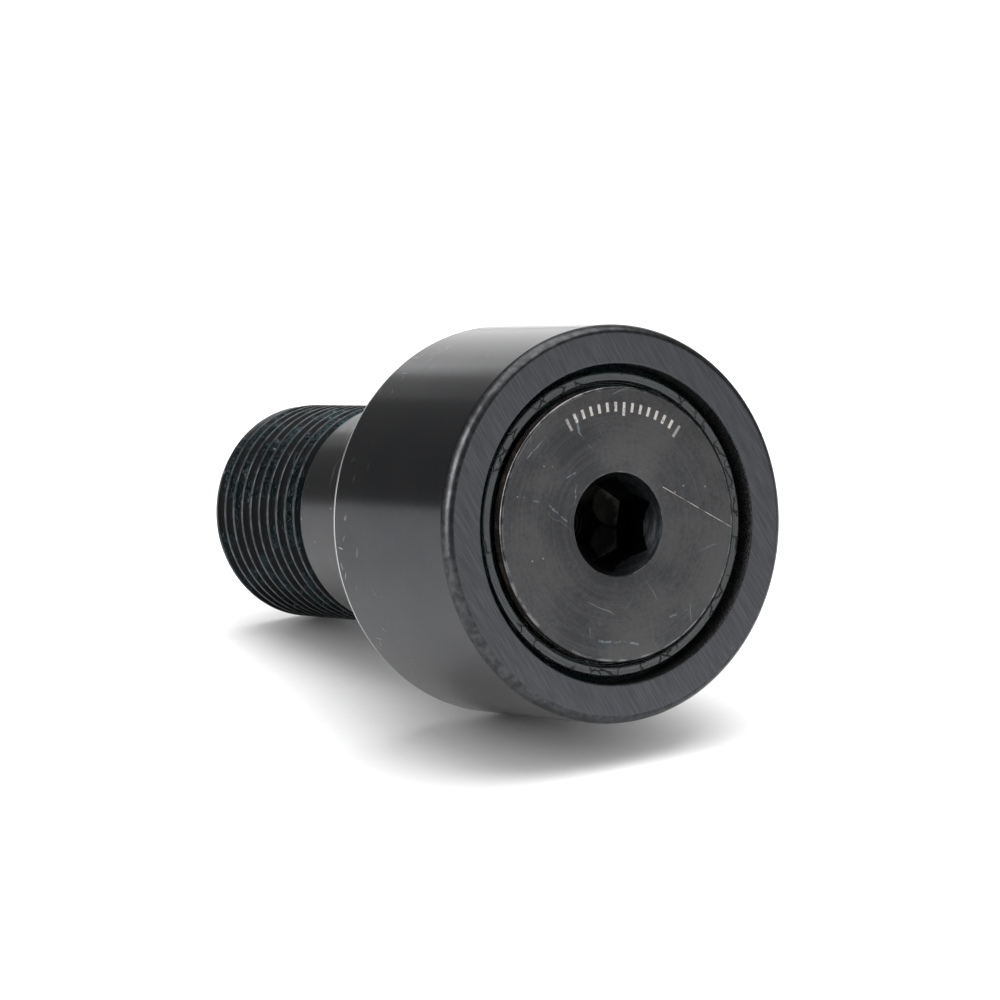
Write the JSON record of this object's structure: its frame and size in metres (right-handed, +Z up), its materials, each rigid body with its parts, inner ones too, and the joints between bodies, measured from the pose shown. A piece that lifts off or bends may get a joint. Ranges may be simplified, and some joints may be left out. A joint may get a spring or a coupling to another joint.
{
  "type": "cam follower",
  "caption": "Stud-type cam follower: a thick black-oxide roller with rounded edges turns on needle rollers about a threaded stud with a hex socket in its flanged end.",
  "frame": {"origin": "on the stud's axis, in the plane of the mounting shoulder, which is the outer face of the back endplate", "axes": "+X along the stud's axis from the thread towards the roller's front face, +Z up, one corner of the hex socket 19.5 degrees from +Y towards +Z"},
  "size_m": [0.0611, 0.0382, 0.0382],
  "materials": {
    "ring_steel": "ground, then black oxide, satin",
    "stud_steel": "turned, then black oxide, matt",
    "endplate_steel": "turned, then black oxide",
    "seal_rubber": "nitrile rubber wet with grease",
    "needle_steel": "lapped bearing steel",
    "plug_steel": "zinc plated"
  },
  "bodies": {
    "stud": {"stud": "stud_steel", "back_endplate": "endplate_steel", "end_plug": "plug_steel", "cross_hole_plug": "plug_steel"},
    "roller": {"outer_ring": "ring_steel", "front_seal": "seal_rubber", "back_seal": "seal_rubber"},
    "needles": {"needle_01": "needle_steel", "needle_02": "needle_steel", "needle_03": "needle_steel", "needle_04": "needle_steel", "needle_05": "needle_steel", "needle_06": "needle_steel", "needle_07": "needle_steel", "needle_08": "needle_steel", "needle_09": "needle_steel", "needle_10": "needle_steel", "needle_11": "needle_steel", "needle_12": "needle_steel", "needle_13": "needle_steel", "needle_14": "needle_steel", "needle_15": "needle_steel", "needle_16": "needle_steel", "needle_17": "needle_steel", "needle_18": "needle_steel", "needle_19": "needle_steel", "needle_20": "needle_steel", "needle_21": "needle_steel", "needle_22": "needle_steel", "needle_23": "needle_steel", "needle_24": "needle_steel", "needle_25": "needle_steel", "needle_26": "needle_steel", "needle_27": "needle_steel", "needle_28": "needle_steel"}
  },
  "joints": [
    {"name": "roller_spin", "type": "hinge", "parent": "stud", "child": "roller", "pos_m": [0.01191, 0, 0], "axis": [1, 0, 0], "continuous": true},
    {"name": "needle_orbit", "type": "hinge", "parent": "stud", "child": "needles", "pos_m": [0.01151, 0, 0], "axis": [1, 0, 0], "continuous": true}
  ],
  "couplings": [
    {"joint": "needle_orbit", "follows": "roller_spin", "ratio": 0.55534}
  ]
}
